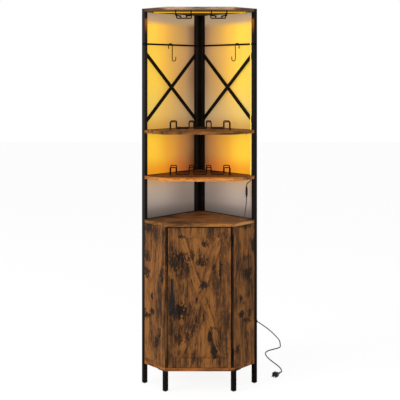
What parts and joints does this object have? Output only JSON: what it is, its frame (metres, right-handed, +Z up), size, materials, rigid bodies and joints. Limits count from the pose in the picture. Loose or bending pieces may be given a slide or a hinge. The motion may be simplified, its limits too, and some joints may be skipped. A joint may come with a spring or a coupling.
{
  "type": "corner bar cabinet",
  "caption": "Tall corner bar cabinet with black steel side frames, wood boards, a cupboard with a crossed-plank door, wire racks, hooks and a light lead",
  "frame": {"origin": "on the floor, at the middle of the cabinet's bounding box in plan, the cord and plug left out", "axes": "+Z up, +X to the right of someone facing the door, +Y to the rear corner, so that the door faces -Y"},
  "size_m": [0.722, 0.6778, 1.8],
  "materials": {
    "black_steel": "matte black powder coat on steel tube, bar and wire",
    "rustic_wood": "rustic brown wood-grain laminate, low sheen, vertical grain with darker patches",
    "back_board": "thin plain warm-grey back board, matte",
    "black_plastic": "moulded matte black plastic",
    "lead_sheath": "flexible sheath, pale beside the lit bays and dark below the lower shelf",
    "light_strip": "translucent warm light strip",
    "zinc_steel": "bright zinc-plated steel"
  },
  "bodies": {
    "cabinet": {"bottom_board": "rustic_wood", "cabinet_top": "rustic_wood", "cord_relief": "black_plastic", "inline_switch": "black_plastic", "inner_shelf": "rustic_wood", "left_back_panel": "back_board", "left_brace_rivet": "black_steel", "left_edge_strip": "black_steel", "left_falling_brace": "black_steel", "left_front_foot": "black_plastic", "left_front_leg": "black_steel", "left_glass_rack": "black_steel", "left_rear_foot": "black_plastic", "left_rising_brace": "black_steel", "left_side_foot": "black_plastic", "left_side_frame": "black_steel", "left_side_panel": "rustic_wood", "light_lead": "lead_sheath", "lower_hinge_frame_leaf": "black_steel", "lower_hinge_pin": "black_steel", "lower_shelf": "rustic_wood", "lower_wine_rack": "black_steel", "magnetic_catch": "black_plastic", "power_cord": "black_plastic", "power_plug": "black_plastic", "right_back_panel": "back_board", "right_brace_rivet": "black_steel", "right_edge_strip": "black_steel", "right_falling_brace": "black_steel", "right_front_foot": "black_plastic", "right_front_leg": "black_steel", "right_glass_rack": "black_steel", "right_rear_foot": "black_plastic", "right_rising_brace": "black_steel", "right_side_foot": "black_plastic", "right_side_frame": "black_steel", "right_side_panel": "rustic_wood", "shelf_light_strip": "light_strip", "top_board": "rustic_wood", "top_light_strip": "light_strip", "upper_hinge_frame_leaf": "black_steel", "upper_hinge_pin": "black_steel", "upper_shelf": "rustic_wood", "upper_wine_rack": "black_steel"},
    "door": {"door_bottom_rail": "rustic_wood", "door_falling_plank": "rustic_wood", "door_handle": "black_steel", "door_handle_stile": "rustic_wood", "door_hinge_stile": "rustic_wood", "door_panel": "rustic_wood", "door_rising_plank": "rustic_wood", "door_top_rail": "rustic_wood", "lower_handle_screw": "zinc_steel", "upper_handle_screw": "zinc_steel", "lower_hinge_door_leaf": "black_steel", "upper_hinge_door_leaf": "black_steel", "strike_plate": "zinc_steel"},
    "left_swing_hook": {"left_hook": "black_steel"},
    "right_swing_hook": {"right_hook": "black_steel"},
    "push_button": {"switch_button": "black_plastic"}
  },
  "joints": [
    {"name": "door_hinge", "type": "hinge", "parent": "cabinet", "child": "door", "pos_m": [0.15201, -0.17653, 0.4405], "axis": [0, 0, 1], "range_deg": [0, 110]},
    {"name": "left_hook_swing", "type": "hinge", "parent": "cabinet", "child": "left_swing_hook", "pos_m": [-0.1439, 0.0553, 1.63], "axis": [-0.7071, -0.7071, 0], "range_deg": [-3, 60]},
    {"name": "right_hook_swing", "type": "hinge", "parent": "cabinet", "child": "right_swing_hook", "pos_m": [0.18491, 0.01429, 1.63], "axis": [-0.7071, 0.7071, 0], "range_deg": [-3, 60]},
    {"name": "switch_push", "type": "slide", "parent": "cabinet", "child": "push_button", "axis": [0, 1, 0], "range_m": [0, 0.001], "stiffness_N_per_m": 150}
  ]
}
